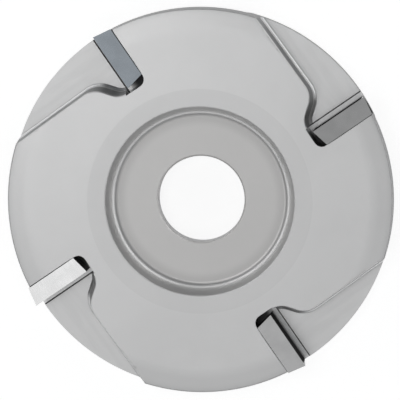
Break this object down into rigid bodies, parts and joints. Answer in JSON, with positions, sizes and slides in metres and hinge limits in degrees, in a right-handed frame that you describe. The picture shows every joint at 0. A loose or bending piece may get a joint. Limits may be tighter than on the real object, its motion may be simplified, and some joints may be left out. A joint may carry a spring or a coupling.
{
  "type": "angle grinder trimming disc",
  "caption": "Cast disc for an angle grinder with hard-metal knives set in slots around the rim, a chip gullet ahead of each knife and a dished recess with a plain bore for the flange nut.",
  "frame": {"origin": "on the spindle axis, in the plane of the hub's rear clamping face", "axes": "+Z along the spindle axis, out of the working face; +X and +Y to the right and up in the picture"},
  "size_m": [0.0988, 0.0988, 0.0118],
  "materials": {
    "cast_aluminium": "fine blasted, satin",
    "hard_metal": "ground",
    "screw_steel": "dark oiled"
  },
  "bodies": {
    "root": {"disc_body": "cast_aluminium", "knife_1": "hard_metal", "knife_2": "hard_metal", "knife_3": "hard_metal", "knife_4": "hard_metal", "knife_screw_1a": "screw_steel", "knife_screw_1b": "screw_steel", "knife_screw_2a": "screw_steel", "knife_screw_2b": "screw_steel", "knife_screw_3a": "screw_steel", "knife_screw_3b": "screw_steel", "knife_screw_4a": "screw_steel", "knife_screw_4b": "screw_steel"}
  },
  "joints": []
}
